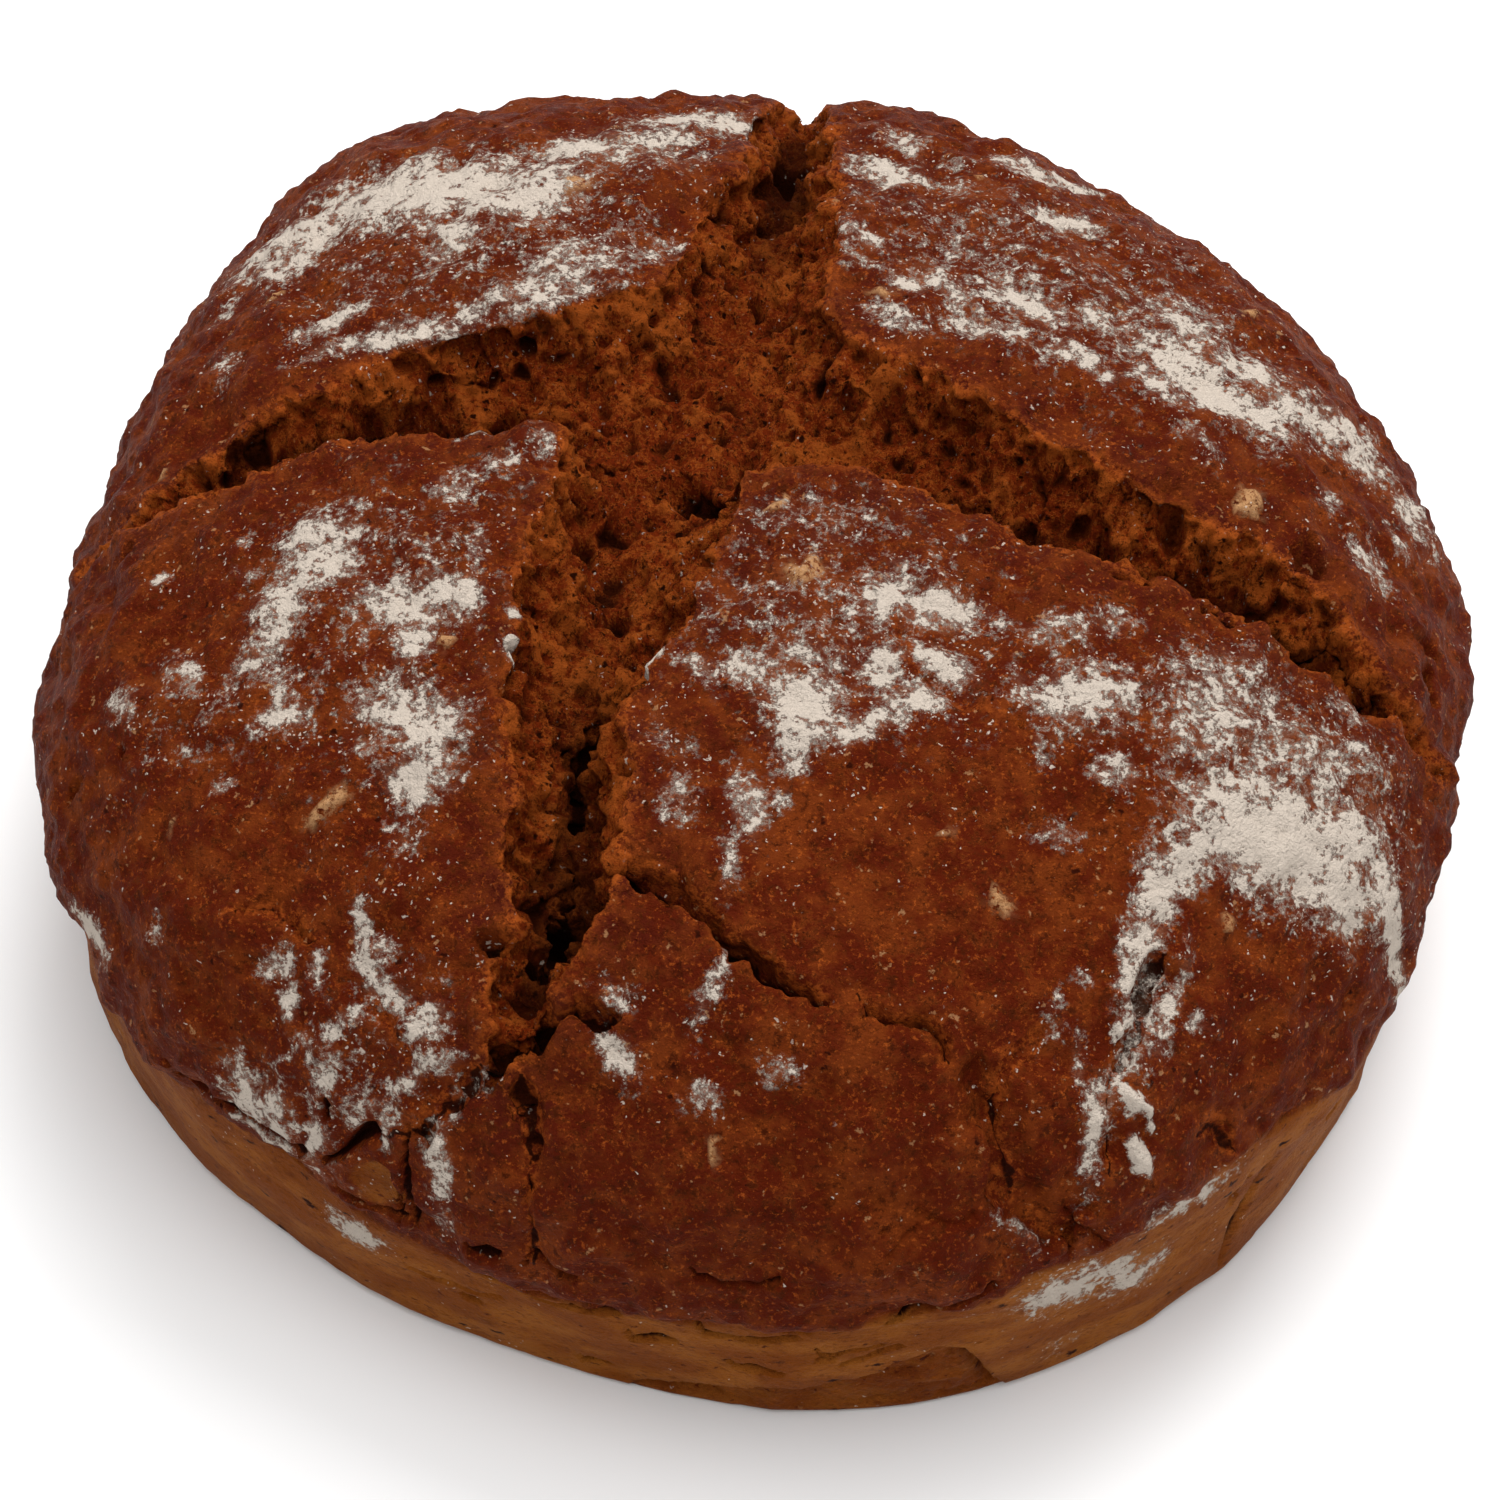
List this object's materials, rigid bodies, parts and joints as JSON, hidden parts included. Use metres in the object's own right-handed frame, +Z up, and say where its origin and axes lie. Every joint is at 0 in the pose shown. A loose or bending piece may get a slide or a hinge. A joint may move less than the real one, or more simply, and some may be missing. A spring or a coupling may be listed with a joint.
{
  "type": "round soda bread loaf",
  "caption": "Round crusty soda bread loaf with a flat base, an upright tin-baked wall and a domed top torn open along a cross.",
  "frame": {"origin": "middle of the flat base", "axes": "+Z up through the loaf's top; -Y is the front, the side that the cross's longest open arm runs down to"},
  "size_m": [0.1982, 0.2024, 0.0778],
  "materials": {
    "crust": "matt dark brown baked crust dusted with white flour, rougher orange-brown crumb in the torn cross, paler brown wall"
  },
  "bodies": {
    "root": {"loaf": "crust"}
  },
  "joints": []
}
